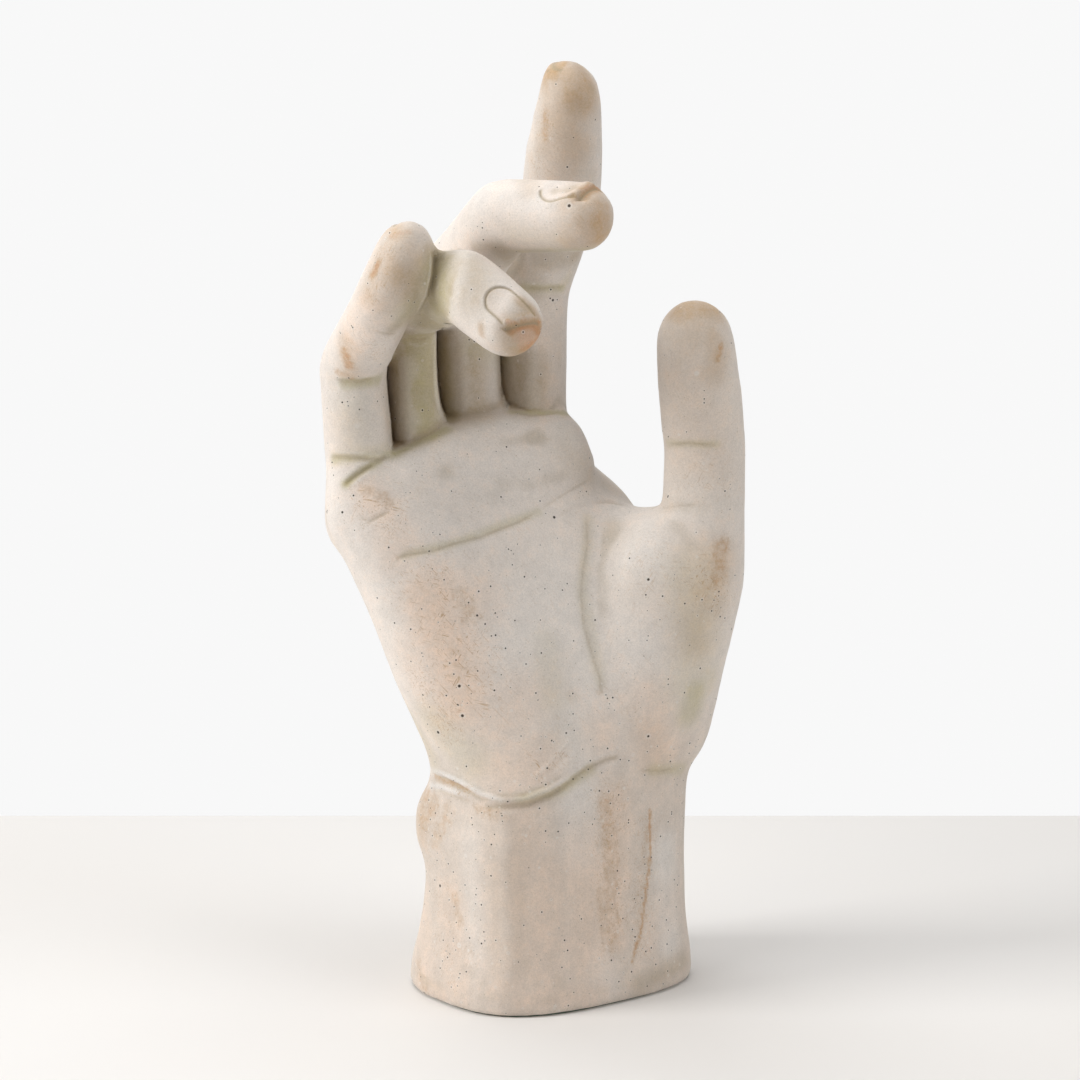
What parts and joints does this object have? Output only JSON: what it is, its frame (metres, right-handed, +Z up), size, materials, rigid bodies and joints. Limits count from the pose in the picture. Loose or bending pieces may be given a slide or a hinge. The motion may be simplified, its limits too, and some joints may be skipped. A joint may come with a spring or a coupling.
{
  "type": "hand sculpture",
  "caption": "Free-standing cast-stone sculpture of an open right hand on its cut wrist, forefinger and thumb raised, the other fingers curling forward.",
  "frame": {"origin": "on the table, under the middle of the cut wrist", "axes": "+Z up through the wrist to the raised forefinger; -Y towards the viewer the palm faces; +X towards the thumb"},
  "size_m": [0.1774, 0.1231, 0.3916],
  "materials": {
    "cast_stone": "matte",
    "steel_rod": "satin",
    "plug_plaster": "matte",
    "base_felt": "matte"
  },
  "bodies": {
    "root": {"hand_casting": "cast_stone", "thumb_rod": "steel_rod", "index_rod": "steel_rod", "middle_rod": "steel_rod", "ring_rod": "steel_rod", "little_rod": "steel_rod", "base_plug": "plug_plaster", "felt_pad": "base_felt"}
  },
  "joints": []
}
